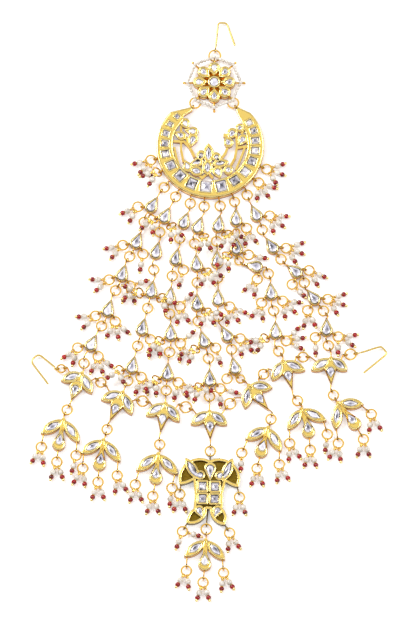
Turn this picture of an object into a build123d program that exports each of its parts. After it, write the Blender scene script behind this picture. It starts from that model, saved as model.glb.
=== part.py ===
from build123d import *
import math
import os

os.makedirs("parts", exist_ok=True)

# Chart: places are read off a front view chart, x to the right and y down.
CHART_STEP = 0.37
CHART_LEAN = math.sin(math.radians(72))
CHART_ORIGIN = (208.6, 310.1)

# Levels and clearances, in millimetres.
LEVEL = 1.25
CLEARANCE = 0.15
SETTING_HEIGHT = 2.0
TREFOIL_HEIGHT = 2.2
BAND_HEIGHT = 2.8
LATTICE_HEIGHT = 2.3
PENDANT_HEIGHT = 2.4
ROSETTE_HEIGHT = 2.7
SEAT_DEPTH = 1.1
STONE_LIFT = 0.12
STONE_SINK = 0.08
PLATE_LIFT = 0.05
STONE_FIT = 0.12
TABLE_SHARE = 0.6
EDGE_CHAMFER = 0.35
BEZEL = 0.65
ROUND_SIDES = 10
BOWL_SIDES = 7
CORNER_SHARE = 0.12
MARQUISE_SHARES = (-0.6, -0.2, 0.2, 0.6)

# Eyes, jump rings and hook wire.
EYE_RADIUS = 0.85
EYE_WIRE = 0.29
NECK_RADIUS = 0.24
EYE_REACH = 0.75
RING_RADIUS = 1.85
RING_WIRE = 0.32
WIRE_SIDES = 6
HOOK_WIRE = 0.35

# A ring that finds no room beside its neighbours is tipped up and its drops lie on top of them.
RAISED_LEVEL = 3.8
RAISED_TILT = math.asin((RAISED_LEVEL - LEVEL) / (2 * RING_RADIUS))
RAISED_ARC = math.radians(30)
LOW, HIGH = "low", "high"
BOTH = LOW + HIGH

# Drop of one seed pearl, one seed bead and a gold ball: radius along its length.
DROP_WIRE = 0.24
PEARL_RADIUS = 1.2
BEAD_RADIUS = 0.85
BALL_RADIUS = 0.4
NIP_RADIUS = 0.5
PEARL_AT = 2.4
NIP_AT = 3.6
BEAD_AT = 4.3
BALL_AT = 5.1
DROP_LENGTH = 5.8

# Drop shaped strand setting.
SETTING_LENGTH = 7.25
SETTING_WIDTH = 4.7
SETTING_SHIFT = 0.28
STRAND_STONE = (5.5, 3.45)
FLANK_ANGLE = 62

# Crescent.
CRESCENT_PLACE = (210.3, 147)
CRESCENT_RADIUS = 20.0
CRESCENT_INNER = 14.2
CRESCENT_INNER_RISE = 0.6
RIM_EYE_REACH = 1.3
RIM_EYE_ANGLES = (-77.5, -63, -48.5, -34.5, -20, -6, 9, 23.5, 38, 52.5, 68)
STRAND_RIM_EYE = 2
RIM_DROP_EYES = (0, 1, 9, 10)
RIM_DROPS = 3

# Rosette.
ROSETTE_PLACE = (214.2, 82)
ROSETTE_CENTRE_RADIUS = 2.45
ROSETTE_CENTRE_STONE = 3.6
ROSETTE_PETAL = (5.6, 4.5)
ROSETTE_PETAL_AT = 5.05
ROSETTE_STONE = (3.1, 2.35)
ROSETTE_STONE_AT = 5.35
ROSETTE_BACK_RADIUS = 6.6
ROSETTE_BACK_HEIGHT = 0.8
ROSETTE_EDGE = 7.85
PEG_RADIUS = 0.35
PEG_END = 11.2
PEG_BALL = 0.5
PEG_STEPS = (0, 2, 3, 5, 6)
PEARL_STRING_REACH = 10.2
PEARL_STRING_RADIUS = 0.58
PEARL_STRING_LEVEL = 2.3
PEARL_STRING_TURN = 1.6

# Strands. Columns: x, y, lean, then lie and drops of the left and of the right flank ring.
STRANDS = (
    ((152.5, 205, -30, -95, 2, 10, 0), (137, 241, -22, -80, 3, 30, 2),
     (122.5, 273.5, -18, -60, 2, 30, 3), (108.5, 309, -17, -40, 2, 20, 3),
     (92, 343.5, -26, -70, 2, 30, 3)),
    ((165.5, 215.5, -27, -20, 2, 0, 2), (156.5, 251, -14, -40, 3, 10, 0),
     (151.5, 290, -11, -100, 2, 30, 2), (142.5, 327.5, -14.5, -50, 3, 30, 2),
     (132.5, 365.5, -14, -60, 2, 40, 3)),
    ((184.5, 221, -21, -40, 2, 0, 2), (176, 257.5, -14, -60, 0, 20, 3),
     (170, 296, -7, -30, 3, 20, 3), (170.5, 333, 0, -50, 2, 30, 3),
     (167.5, 372.5, -4, -50, 2, 50, 3)),
    ((198.5, 225.5, -20, 0, 0, 10, 2), (196.5, 263.5, 3, -30, 2, 20, 3),
     (197, 303, 0, -40, 2, 30, 3), (203.5, 340, 15, -50, 3, 30, 2),
     (209.5, 378.5, 0, -40, 3, 40, 2)),
    ((218.5, 224, -10, 0, 0, 30, 3), (217, 260, 0, -20, 2, 20, 0),
     (218, 298, 0, -30, 2, 60, 3), (226, 334.5, 27, 10, 2, 70, 3),
     (234.5, 366.5, 12, -20, 3, 60, 2)),
    ((236, 218, 0, -30, 0, 40, 3), (236.5, 247, 0, -30, 2, 60, 3),
     (254, 266.5, 78, -20, 3, 120, 0), (271, 292, 4, -30, 2, 50, 3),
     (275.5, 331, 1, -60, 3, 40, 3)),
    ((255.5, 213.5, 24, 20, 2, 100, 3), (271.5, 246, 32.6, -30, 3, 60, 3),
     (294.5, 271, 51, -10, 2, 80, 2), (313, 297.5, 36, -40, 3, 70, 3),
     (326.5, 328, 0, -50, 2, 60, 3)),
)

# Upper trefoils. Columns: hub, left tip, right tip, foot stone, foot tip, top, left and right eye.
UPPER_TREFOILS = (
    ((82, 374), (61, 381), (92, 394), (75, 391), (72, 399), (84, 368), (65.5, 368), (97, 379.5)),
    ((123, 393), (101, 400), (132, 415), (115, 410), (110.5, 420), (126, 385), (105, 385), (137.5, 400)),
    ((165.5, 404), (146, 416), (179.5, 422), (162.4, 420), (160.8, 431), (166, 395), (148, 402), (180.5, 405)),
    ((209.5, 412), (190.7, 424.8), (227, 425.2), (210, 427.5), (210.2, 438.2),
     (209.5, 401), (191, 409), (226.5, 407.6)),
    ((249, 386), (245, 409), (272.5, 388), (260, 399.5), (267.5, 409), (244, 381), (233.5, 399.5), (260, 377.5)),
    ((283, 362), (272, 381), (305, 371), (288.5, 377), (292, 389), (281.5, 355), (267, 370.5), (298, 357)),
    ((331, 359), (311, 371), (347, 371), (330.5, 373), (331, 384), (330, 350), (308, 357), (345, 355)),
)

# Lower trefoils. Columns: top eye, hub, left tip, right tip, foot stone, foot end, three rings.
LOWER_TREFOILS = (
    ((65.2, 413.9), (63.9, 420.1), (41.1, 433.8), (79.7, 442.9), (60.2, 439.6), (58.1, 448.7),
     (41.7, 446.7), (57.3, 461.5), (76.4, 455)),
    ((106.2, 433.8), (103.7, 440.4), (80.9, 453.7), (120.7, 462), (100.8, 458.7), (98.8, 468.6),
     (83, 467.8), (98.4, 481.5), (117.5, 475)),
    ((160.1, 448.9), (158.5, 454.2), (136.3, 471), (178, 474.9), (156.2, 473.3), (155.9, 482.5),
     (135.6, 484), (153, 495.5), (172, 487.5)),
    ((206.3, 533.3), (205.8, 539.8), (184.1, 556), (224.8, 559.3), (204.7, 559.3), (204.7, 568),
     (186.5, 569.5), (203.1, 581), (223.5, 571.5)),
    ((269.9, 423.7), (268, 428), (245, 439.7), (281, 452), (262.6, 446), (259.6, 455.5),
     (241.6, 452.5), (256.9, 468), (279, 464)),
    ((300.4, 404.3), (301.3, 409.5), (287.5, 430.2), (326.3, 421.3), (307.6, 427.5), (308.9, 436.4),
     (289.5, 443), (310, 449.5), (327, 434)),
    ((335.3, 399.4), (337.9, 403.5), (335.3, 430.2), (363.4, 404.3), (350.9, 419), (357.1, 427.5),
     (338, 443), (363, 439), (371, 414)),
)
PETAL_WIDTH = 4.3
PETAL_STONE = (5.6, 2.6)
PETAL_STONE_SHARE = 0.48
FOOT_WIDTH = 4.9
FOOT_STONE = (4.2, 3.0)
FOOT_GROWTH = 1.3
WEB_RADIUS = 0.8
WEB_HEIGHT = 1.95
LOWER_RING_LEAN = (-12, 0, 12)
LOWER_DROPS = 2

# Centre pendant. Columns of a limb: start, outer bow, tip, inner bow.
PENDANT_LIMBS = (
    ((207, 460), (186.5, 463.5), (180, 484.5), (196, 478.5)),
    ((213, 460), (233.5, 465), (238, 487), (223.5, 480.5)),
    ((206, 505), (192.5, 510), (186.5, 522.5), (203.5, 518)),
    ((211.5, 505), (222.5, 509), (224.5, 524.5), (212.5, 518)),
)
PENDANT_BODY = ((199, 458.5), (210, 461), (220, 458.8), (226, 480.5), (222.5, 494), (222.5, 508),
                (208.5, 509), (194, 508), (195, 494), (193.5, 479))
# Columns of a pendant stone: shape, x, y, length, width, lean.
PENDANT_STONES = (
    ("marquise", 192.2, 469.3, 6.8, 2.5, 30), ("marquise", 227.5, 470.4, 6.8, 2.5, -22),
    ("drop", 210.2, 472.2, 5.3, 3.1, 180),
    ("round", 200.4, 475.4, 2.3, 2.3, 0), ("round", 219.7, 476, 2.3, 2.3, 0),
    ("square", 202.5, 486.4, 3.3, 3.0, 0), ("square", 215, 487, 3.3, 3.1, 0),
    ("square", 202.5, 498.6, 3.2, 3.0, 0), ("square", 214.6, 499.1, 3.2, 3.1, 0),
    ("drop", 200.2, 512.3, 3.7, 2.3, 205), ("drop", 216.6, 512.4, 3.7, 2.3, 155),
)
PENDANT_TOP_EYE = (210.2, 455.6)
PENDANT_FOOT_EYE = (206.6, 523.3)
PENDANT_FOOT_NECK = (208.4, 505)
# Columns of a pendant ring: tip that it hangs from, ring.
PENDANT_RINGS = (((181.5, 481), (179.8, 493.5)), ((236.5, 483), (239.4, 496.5)),
                 ((188.5, 520.5), (182.5, 530.5)), ((223.5, 522), (229.5, 532)))
RIM_WIDTH = 0.75
GROUND_HEIGHT = 1.5

# Crescent band stones. Columns: x, y, length towards the rim, width.
BAND_STONES = (
    (177, 117, 5.5, 5), (170, 124.8, 6, 5.5), (166, 134, 7, 7), (165, 144, 8, 7.5),
    (165.5, 154.5, 8.5, 8), (171, 166, 9.5, 9.5), (180, 176.5, 10.5, 10.5), (192, 184.5, 11.5, 10.5),
    (206, 187.5, 12, 12), (221.5, 187, 12, 11.5), (235, 181.5, 9.5, 10), (245.5, 172.5, 9.5, 9),
    (252.3, 162, 9, 9), (255.3, 151.4, 8.5, 8), (255.5, 141.3, 8.5, 7.5), (254, 131.5, 7, 7),
    (249.5, 123.3, 6.5, 6.5),
)
# Lattice stones. Columns: shape, x, y, length, width in chart steps, lean of the tip.
LATTICE_STONES = (
    ("drop", 185.5, 124, 7, 5.5, 205), ("drop", 191.5, 131.3, 8, 5.5, 80), ("drop", 192.3, 141, 9, 6, 160),
    ("drop", 179.6, 135, 7.5, 5, 60), ("round", 240, 128, 4.6, 4.6, 0), ("drop", 231.8, 134, 7.5, 6, 150),
    ("drop", 228, 142, 7, 5.5, 30), ("drop", 242, 140.8, 8, 5.5, 145), ("marquise", 208.5, 154, 13.5, 6.2, 0),
    ("drop", 200.5, 156.8, 7.5, 5, 155), ("drop", 217.3, 158.6, 7.5, 5, 215), ("drop", 195.8, 163, 9, 5.5, 110),
    ("marquise", 220.3, 163.6, 9.5, 4.6, 100), ("drop", 187, 166, 7.5, 5.5, 20), ("marquise", 207.5, 167.8, 10, 6, 0),
    ("marquise", 196.2, 171.3, 9, 6, 72), ("round", 228.3, 170.3, 5.6, 5.6, 0), ("drop", 218, 173, 8, 6, 200),
)
# Lattice stems. Columns: the places that a stem runs through, and its half width.
LATTICE_STEMS = (
    (((181, 119), (181, 138), (181, 150), (183.5, 162)), 0.42),
    (((186, 137), (190, 148), (194.5, 157)), 0.5),
    (((173, 141), (184, 141.5), (190, 148)), 0.42),
    (((174, 147), (176.5, 158), (180, 169)), 0.38),
    (((187, 128), (198.5, 131.5)), 0.6),
    (((236.5, 132), (237, 147), (235, 158), (228.5, 170)), 0.45),
    (((246, 125), (242, 133), (249, 146), (236, 148)), 0.42),
    (((228, 146), (225.5, 153), (221, 159)), 0.45),
    (((245.5, 146), (241, 158), (236, 170)), 0.4),
    (((231, 136), (223.5, 135)), 0.6),
    (((196, 172), (202, 178), (208, 173), (213, 178)), 0.45),
)
HORN_CUT = ((-15.4, 13.0), (-7.2, 15.1), (-6.6, 14.3), (-10.1, 12.2), (-10.2, 9.5), (0, 6),
            (12.3, 8.6), (9.7, 14.2), (10.3, 15.1), (15.6, 12.5), (30, 12.5), (30, 40), (-30, 40), (-30, 13.0))
HORN_EYES = ((192.6, 106.6), (235.9, 106.6))
HORN_FEET = ((190, 111), (238, 111))
CRESCENT_RING_ANGLES = (-45, 45)

# Hooks. Columns: eye, corners of the wire, bend radii.
HOOKS = {
    "top_hook": ((215.4, 49.0), ((215.8, 45.4), (218.2, 21.0), (226.8, 21.5), (234.8, 43.6)), (1.3, 1.3)),
    "left_hook": ((57.3, 369.0), ((54.5, 366.6), (38.7, 353.8), (30.6, 361.0), (48, 383.5)), (1.7, 1.9)),
    "right_hook": ((355.8, 353.6), ((361, 352.6), (381, 346.3), (387.5, 353.5), (364, 372.5)), (1.3, 1.3)),
}

# Search of a clear lie: steps away from the charted direction, in degrees.
RING_SEARCH = (0, 12, -12, 24, -24, 36, -36, 48, -48, 60, -60, 75, -75)
DROP_SEARCH = (0, 7, -7, 14, -14, 21, -21, 28, -28, 36, -36, 45, -45, 55, -55, 65, -65, 80, -80, 95, -95)
DROP_FANS = {2: (-19, 19), 3: (-38, 0, 38)}


def spot(place):
    """Place on the chart as a complex number of millimetres."""
    x, y = place
    return complex(
        (x - CHART_ORIGIN[0]) * CHART_STEP,
        (CHART_ORIGIN[1] - y) * CHART_STEP / CHART_LEAN,
    )


def direction(lean):
    """Unit step that leans from straight down, positive towards the right."""
    angle = math.radians(lean)
    return complex(math.sin(angle), -math.cos(angle))


def toward(start, end):
    return (end - start) / abs(end - start)


def distance_to_bar(place, start, end):
    run = end - start
    if run == 0:
        return abs(place - start)
    share = ((place - start) * run.conjugate()).real / abs(run) ** 2
    return abs(place - start - run * min(1, max(0, share)))


def bars_apart(a, b, c, d):
    """Shortest distance between the bars ab and cd, zero where they cross."""
    ab, cd = b - a, d - c
    turn_c = (ab.conjugate() * (c - a)).imag
    turn_d = (ab.conjugate() * (d - a)).imag
    turn_a = (cd.conjugate() * (a - c)).imag
    turn_b = (cd.conjugate() * (b - c)).imag
    if turn_c * turn_d < 0 and turn_a * turn_b < 0:
        return 0
    return min(
        distance_to_bar(a, c, d),
        distance_to_bar(b, c, d),
        distance_to_bar(c, a, b),
        distance_to_bar(d, a, b),
    )


# Layout: what lies where, as bars with a radius, so that every later piece finds a clear lie.
laid = []
eyes = {}
rings = {}
clusters = {}


def lay(start, end, radius, owner, layer=LOW):
    laid.append((start, end, radius, owner, layer, (start + end) / 2, abs(end - start) / 2 + radius))


def is_clear(bars, layer, own=()):
    for start, end, radius in bars:
        middle = (start + end) / 2
        span = abs(end - start) / 2 + radius + CLEARANCE
        for other_start, other_end, other_radius, owner, other_layer, other_middle, other_span in laid:
            if layer not in other_layer or owner in own or abs(middle - other_middle) > span + other_span:
                continue
            reach = radius + other_radius + CLEARANCE
            if bars_apart(start, end, other_start, other_end) < reach:
                return False
    return True


def add_eye(owner, place, facing, foot):
    eyes.setdefault(owner, []).append((place, facing, foot))
    lay(place - facing * EYE_RADIUS, place + facing * EYE_RADIUS, EYE_WIRE, owner)
    lay(foot, place - facing * EYE_RADIUS, NECK_RADIUS, owner)


def add_ring(node, centre, radius):
    rings.setdefault(node, []).append((centre, radius))
    lay(centre, centre, radius + RING_WIRE, "ring")


def join(node, owner_a, place_a, foot_a, owner_b, place_b, foot_b):
    """Jump ring that is as wide as the gap between two eyes and passes through both."""
    centre = (place_a + place_b) / 2
    add_eye(owner_a, place_a, toward(place_a, centre), foot_a)
    add_eye(owner_b, place_b, toward(place_b, centre), foot_b)
    add_ring(node, centre, abs(place_b - place_a) / 2)


def reach_for_ring(start, step, end, end_step):
    """Reach of the eyes from two edges that leaves room for one ring between them."""
    gap = start - end
    closing = step - end_step
    a = abs(closing) ** 2
    b = 2 * (gap * closing.conjugate()).real
    c = abs(gap) ** 2 - (2 * RING_RADIUS) ** 2
    root = b * b - 4 * a * c
    if root < 0:
        return EYE_REACH
    return max(EYE_REACH, (-b - math.sqrt(root)) / (2 * a))


def drop_bars(start, heading):
    pearl = start + heading * PEARL_AT
    bead = start + heading * BEAD_AT
    return (
        (pearl, pearl, PEARL_RADIUS),
        (bead, bead, BEAD_RADIUS),
        (start + heading * DROP_WIRE * 2, start + heading * DROP_LENGTH, BALL_RADIUS),
    )


def fan_out(starts_from, lean, count, layer, own):
    """Drops that fan out from a ring, each turned aside until it lies clear."""
    drops = []
    for fan in DROP_FANS[count]:
        for aside in DROP_SEARCH:
            heading = direction(lean + fan + aside)
            start = starts_from(heading)
            bars = drop_bars(start, heading)
            if is_clear(bars, layer, own):
                drops.append((start, heading))
                for bar_start, bar_end, bar_radius in bars:
                    lay(bar_start, bar_end, bar_radius, "drop", layer)
                break
    return drops


def lay_flat_ring(node, centre):
    key = f"{node} {centre:.2f}"
    lay(centre, centre, RING_RADIUS + RING_WIRE, key)
    return key


def hang_flat(node, centre, lean, count):
    """Cluster whose ring lies flat."""
    key = lay_flat_ring(node, centre)
    drops = fan_out(lambda heading: centre + heading * RING_RADIUS, lean, count, LOW, (key,))
    clusters.setdefault(node, []).append((centre, None, drops))


def hang_raised(node, eye_place, facing, lean, count):
    """Cluster whose ring is tipped up, so that its drops lie on what is beside the ring."""
    key = f"{node} {eye_place:.2f}"
    near, far = raised_bars(eye_place, facing)
    lay(*near, key)
    lay(*far, key, HIGH)

    def far_wire(heading):
        turn = math.atan2((heading / facing).imag, (heading / facing).real)
        turn = min(RAISED_ARC, max(-RAISED_ARC, turn))
        depth = RING_RADIUS * math.cos(RAISED_TILT) * (1 + math.cos(turn))
        return eye_place + facing * complex(depth, RING_RADIUS * math.sin(turn))

    drops = fan_out(far_wire, lean, count, HIGH, (key,))
    clusters.setdefault(node, []).append((eye_place, facing, drops))


def raised_bars(eye_place, facing):
    """The near and the far half of a tipped ring, seen from above."""
    depth = RING_RADIUS * math.cos(RAISED_TILT)
    half = RING_RADIUS + RING_WIRE - depth * 0.6
    bars = []
    for share in (0.6, 1.4):
        middle = eye_place + facing * depth * share
        bars.append((middle - facing * 1j * half, middle + facing * 1j * half, depth * 0.6))
    return bars


def hang_cluster(node, owner, eye_place, foot, lie, count):
    """Ring on an eye of its own with a fan of drops, flat where it finds room."""
    if not is_clear([(eye_place, eye_place, EYE_RADIUS + EYE_WIRE)], LOW, (owner,)):
        print("no room for an eye of", owner, "at lean", lie)
        return
    for aside in RING_SEARCH:
        facing = direction(lie + aside)
        centre = eye_place + facing * RING_RADIUS
        if is_clear([(centre, centre, RING_RADIUS + RING_WIRE)], LOW):
            add_eye(owner, eye_place, facing, foot)
            hang_flat(node, centre, (lie + aside) / 2, count)
            return
    for aside in RING_SEARCH:
        facing = direction(lie + aside)
        near, far = raised_bars(eye_place, facing)
        if is_clear([near], LOW) and is_clear([far], HIGH):
            add_eye(owner, eye_place, facing, foot)
            hang_raised(node, eye_place, facing, (lie + aside) / 2, count)
            return
    print("no room for a cluster of", node, "at lean", lie)


class StrandSetting:
    """Places of one drop shaped setting of a strand."""

    def __init__(self, row):
        x, y, lean = row[:3]
        self.stone = spot((x, y))
        self.lean = lean
        self.down = direction(lean)
        self.plate = self.stone - self.down * SETTING_SHIFT
        self.bowl = self.plate + self.down * (SETTING_LENGTH - SETTING_WIDTH) / 2
        self.tip = self.plate - self.down * SETTING_LENGTH / 2
        self.foot = self.plate + self.down * SETTING_LENGTH / 2
        self.flanks = row[3:]

    def lay_plate(self, owner):
        lay(self.bowl, self.bowl, SETTING_WIDTH / 2, owner)
        shoulder = self.bowl - self.down * SETTING_WIDTH * 0.45
        lay(shoulder, shoulder, SETTING_WIDTH * 0.33, owner)
        lay(self.tip + self.down * 0.6, shoulder, SETTING_WIDTH * 0.16, owner)


crescent_place = spot(CRESCENT_PLACE)
rosette_place = spot(ROSETTE_PLACE)
lay(crescent_place, crescent_place, CRESCENT_RADIUS, "crescent_setting", BOTH)
lay(rosette_place, rosette_place, ROSETTE_EDGE, "rosette_setting", BOTH)

strand_settings = []
for number, rows in enumerate(STRANDS, 1):
    owner = f"strand_{number}"
    settings = [StrandSetting(row) for row in rows]
    strand_settings.append(settings)
    for setting in settings:
        setting.lay_plate(owner)

petals = {}
for number, (hub, left, right, stone, tip, *rest) in enumerate(UPPER_TREFOILS, 1):
    petals[f"upper_trefoil_{number}"] = [spot(p) for p in (hub, left, right, stone, tip)]
for number, (top, hub, left, right, stone, end, *rest) in enumerate(LOWER_TREFOILS, 1):
    petals[f"lower_trefoil_{number}"] = [spot(p) for p in (hub, left, right, stone, end)]
for owner, (hub, left, right, stone, tip) in petals.items():
    for end in (left, right):
        lay(hub + (end - hub) * 0.3, hub + (end - hub) * 0.7, PETAL_WIDTH * 0.45, owner)
        lay(hub, end, 0.5, owner)
    lay(stone, stone, FOOT_WIDTH / 2, owner)
    lay(stone, tip, 1.0, owner)

for start, outer, tip, inner in PENDANT_LIMBS:
    start, outer, tip, inner = spot(start), spot(outer), spot(tip), spot(inner)
    middle = (outer + inner) / 2
    lay(start, middle, abs(outer - inner) / 2, "pendant_setting")
    lay(middle, tip, 1.0, "pendant_setting")
lay(spot((208.5, 470)), spot((208.5, 502)), 5.4, "pendant_setting")

# Rings at the rosette and the hooks.
rosette_top = rosette_place + 1j * (ROSETTE_EDGE + EYE_REACH)
top_hook_eye = spot(HOOKS["top_hook"][0])
join("rosette_rings", "rosette_setting", rosette_top, rosette_place + 1j * 7,
     "top_hook", top_hook_eye, spot(HOOKS["top_hook"][1][0]))
for lean, horn_eye, horn_foot in zip(CRESCENT_RING_ANGLES, HORN_EYES, HORN_FEET):
    outward = direction(lean)
    join("rosette_rings", "rosette_setting", rosette_place + outward * (ROSETTE_EDGE + EYE_REACH),
         rosette_place + outward * 7, "crescent_setting", spot(horn_eye), spot(horn_foot))
join("trefoil_rings", "upper_trefoil_1", spot(UPPER_TREFOILS[0][6]),
     (petals["upper_trefoil_1"][0] + petals["upper_trefoil_1"][1]) / 2,
     "left_hook", spot(HOOKS["left_hook"][0]), spot(HOOKS["left_hook"][1][0]))
join("trefoil_rings", "upper_trefoil_7", spot(UPPER_TREFOILS[6][7]),
     (petals["upper_trefoil_7"][0] + petals["upper_trefoil_7"][2]) / 2,
     "right_hook", spot(HOOKS["right_hook"][0]), spot(HOOKS["right_hook"][1][0]))

# Rings of the strands, from the crescent down to the trefoils.
for number, settings in enumerate(strand_settings, 1):
    owner = f"strand_{number}"
    node = f"strand_{number}_rings"
    rim = direction(RIM_EYE_ANGLES[STRAND_RIM_EYE + number - 1])
    rim_eye = crescent_place + rim * (CRESCENT_RADIUS + RIM_EYE_REACH)
    first = settings[0]
    reach = reach_for_ring(first.tip, -first.down, rim_eye, 0)
    join(node, "crescent_setting", rim_eye, crescent_place + rim * (CRESCENT_RADIUS - 0.6),
         owner, first.tip - first.down * reach, first.tip + first.down * 0.8)
    for upper, lower in zip(settings, settings[1:]):
        reach = reach_for_ring(upper.foot, upper.down, lower.tip, -lower.down)
        join(node, owner, upper.foot + upper.down * reach, upper.bowl,
             owner, lower.tip - lower.down * reach, lower.tip + lower.down * 0.8)
    last = settings[-1]
    trefoil_eye = spot(UPPER_TREFOILS[number - 1][5])
    reach = reach_for_ring(last.foot, last.down, trefoil_eye, 0)
    join(node, owner, last.foot + last.down * reach, last.bowl,
         f"upper_trefoil_{number}", trefoil_eye, petals[f"upper_trefoil_{number}"][0])

# Rings between the trefoils.
for number in range(1, len(UPPER_TREFOILS)):
    left_owner, right_owner = f"upper_trefoil_{number}", f"upper_trefoil_{number + 1}"
    left_petals, right_petals = petals[left_owner], petals[right_owner]
    join("trefoil_rings", left_owner, spot(UPPER_TREFOILS[number - 1][7]),
         (left_petals[0] + left_petals[2]) / 2,
         right_owner, spot(UPPER_TREFOILS[number][6]), (right_petals[0] + right_petals[1]) / 2)
for number in range(1, len(UPPER_TREFOILS) + 1):
    upper, lower = f"upper_trefoil_{number}", f"lower_trefoil_{number}"
    stone, tip = petals[upper][3:]
    step = toward(stone, tip)
    target = spot(LOWER_TREFOILS[number - 1][0])
    target_owner, target_foot = lower, petals[lower][0]
    if number == 4:
        target, target_owner = spot(PENDANT_TOP_EYE), "pendant_setting"
        target_foot = target - 2.2j
    reach = reach_for_ring(tip, step, target, 0)
    join("trefoil_rings", upper, tip + step * reach, tip - step * 0.8, target_owner, target, target_foot)
foot_eye = spot(PENDANT_FOOT_EYE)
join("trefoil_rings", "pendant_setting", foot_eye, spot(PENDANT_FOOT_NECK),
     "lower_trefoil_4", spot(LOWER_TREFOILS[3][0]), petals["lower_trefoil_4"][0])

# Rings of drops: lower trefoils, pendant, crescent rim and flanks of the strand settings.
charted = []


def hang_from(node, owner, foot, ring, lean):
    """Charted ring on an eye that reaches to it, whose drops find their lie later."""
    centre = spot(ring)
    facing = toward(foot, centre)
    add_eye(owner, centre - facing * RING_RADIUS, facing, foot)
    lay_flat_ring(node, centre)
    charted.append((node, centre, lean))


for number, row in enumerate(LOWER_TREFOILS, 1):
    owner = f"lower_trefoil_{number}"
    hub, left, right, stone, end = petals[owner]
    feet = (hub + (left - hub) * 0.86, stone + (end - stone) * 0.7, hub + (right - hub) * 0.86)
    for foot, ring, lean in zip(feet, row[6:], LOWER_RING_LEAN):
        hang_from(f"lower_drops_{number}", owner, foot, ring, lean)
for tip, ring in PENDANT_RINGS:
    hang_from("pendant_drops", "pendant_setting", spot(tip), ring, 0)
for node, centre, lean in charted:
    hang_flat(node, centre, lean, LOWER_DROPS)
for place in RIM_DROP_EYES:
    rim = direction(RIM_EYE_ANGLES[place])
    eye_place = crescent_place + rim * (CRESCENT_RADIUS + EYE_REACH)
    foot = crescent_place + rim * (CRESCENT_RADIUS - 0.6)
    hang_cluster("crescent_drops", "crescent_setting", eye_place, foot, RIM_EYE_ANGLES[place], RIM_DROPS)
for number, settings in enumerate(strand_settings, 1):
    for setting in settings:
        left_lie, left_count, right_lie, right_count = setting.flanks
        for side, lie, count in ((-1, left_lie, left_count), (1, right_lie, right_count)):
            outward = direction(setting.lean + side * FLANK_ANGLE)
            eye_place = setting.bowl + outward * (SETTING_WIDTH / 2 + EYE_REACH)
            if count:
                hang_cluster(f"strand_{number}_drops", f"strand_{number}", eye_place,
                             setting.bowl, lie, count)

print("rings", sum(len(rows) for rows in rings.values()))
print("clusters", sum(len(rows) for rows in clusters.values()))
print("drops", sum(len(drops) for rows in clusters.values() for place, facing, drops in rows))


def flat(place, up=1j, level=0.0):
    """Level plane whose y direction is the step up."""
    side = up * -1j
    return Plane((place.real, place.imag, level), x_dir=(side.real, side.imag, 0), z_dir=(0, 0, 1))


def upright(place, facing, level=LEVEL):
    """Upright plane whose x direction is the step facing and whose y direction is up."""
    return Plane(
        (place.real, place.imag, level),
        x_dir=(facing.real, facing.imag, 0),
        z_dir=(facing.imag, -facing.real, 0),
    )


def tipped(eye_place, facing):
    """Plane of a ring that passes through an eye and is tipped up."""
    rise, run = math.sin(RAISED_TILT), math.cos(RAISED_TILT)
    centre = eye_place + facing * RING_RADIUS * run
    return Plane(
        (centre.real, centre.imag, LEVEL + RING_RADIUS * rise),
        x_dir=(facing.real * run, facing.imag * run, rise),
        z_dir=(-facing.real * rise, -facing.imag * rise, run),
    )


def outline(shape, length, width):
    """Outline of a stone, a bezel or a plate around the origin, its tip towards +y."""
    with BuildSketch(Plane.XY) as drawn:
        if shape == "round":
            Circle(width / 2)
        elif shape == "square":
            RectangleRounded(width, length, min(length, width) * CORNER_SHARE)
        elif shape == "marquise":
            with BuildLine():
                ThreePointArc((0, -length / 2), (width / 2, 0), (0, length / 2))
                ThreePointArc((0, length / 2), (-width / 2, 0), (0, -length / 2))
            make_face()
        else:
            radius, tip = width / 2, length - width / 2
            bowl = radius - length / 2
            reach = radius * math.sqrt(1 - (radius / tip) ** 2)
            shoulder = bowl + radius**2 / tip
            with BuildLine():
                ThreePointArc((reach, shoulder), (0, -length / 2), (-reach, shoulder))
                Polyline((-reach, shoulder), (0, length / 2), (reach, shoulder))
            make_face()
    return drawn.sketch


def stone_corners(shape, length, width):
    """Corners of the girdle of a cut stone."""
    if shape == "round":
        turns = [math.tau * step / ROUND_SIDES for step in range(ROUND_SIDES)]
        return [(width / 2 * math.cos(turn), width / 2 * math.sin(turn)) for turn in turns]
    if shape == "square":
        x, y, cut = width / 2, length / 2, min(length, width) * CORNER_SHARE * 1.4
        quarter = [(x, y - cut), (x - cut, y)]
        half = quarter + [(-px, py) for px, py in reversed(quarter)]
        return half + [(-px, -py) for px, py in half]
    if shape == "marquise":
        bow = [(width / 2 * (1 - share**2), length / 2 * share) for share in MARQUISE_SHARES]
        half = [(0, -length / 2)] + bow
        return half + [(-x, -y) for x, y in half]
    radius, tip = width / 2, length - width / 2
    rise = math.asin(radius / tip)
    turns = [rise - (math.pi + 2 * rise) * step / BOWL_SIDES for step in range(BOWL_SIDES + 1)]
    bowl = [(radius * math.cos(turn), radius * (1 + math.sin(turn)) - length / 2) for turn in turns]
    return [(0, length / 2)] + bowl


def make_stone(shape, length, width, place, up, height):
    """Faceted stone in its seat: a girdle, a crown of facets and a table."""
    corners = stone_corners(shape, length, width)
    table = [(x * TABLE_SHARE, y * TABLE_SHARE) for x, y in corners]
    with BuildPart() as stone:
        with BuildSketch(flat(place, up, height - SEAT_DEPTH + STONE_LIFT)):
            Polygon(*corners, align=None)
        with BuildSketch(flat(place, up, height - STONE_SINK)):
            Polygon(*table, align=None)
        loft(ruled=True)
    return stone.part


def raised_outline(shape, length, width, place, up, low, high, edge=0.0):
    """Prism on an outline, its upper edge chamfered."""
    with BuildPart(Plane.XY) as prism:
        extrude(outline(shape, length, width), amount=high - low)
        if edge:
            chamfer(prism.edges().group_by(Axis.Z)[-1], edge)
    return flat(place, up, low) * prism.part


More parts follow.
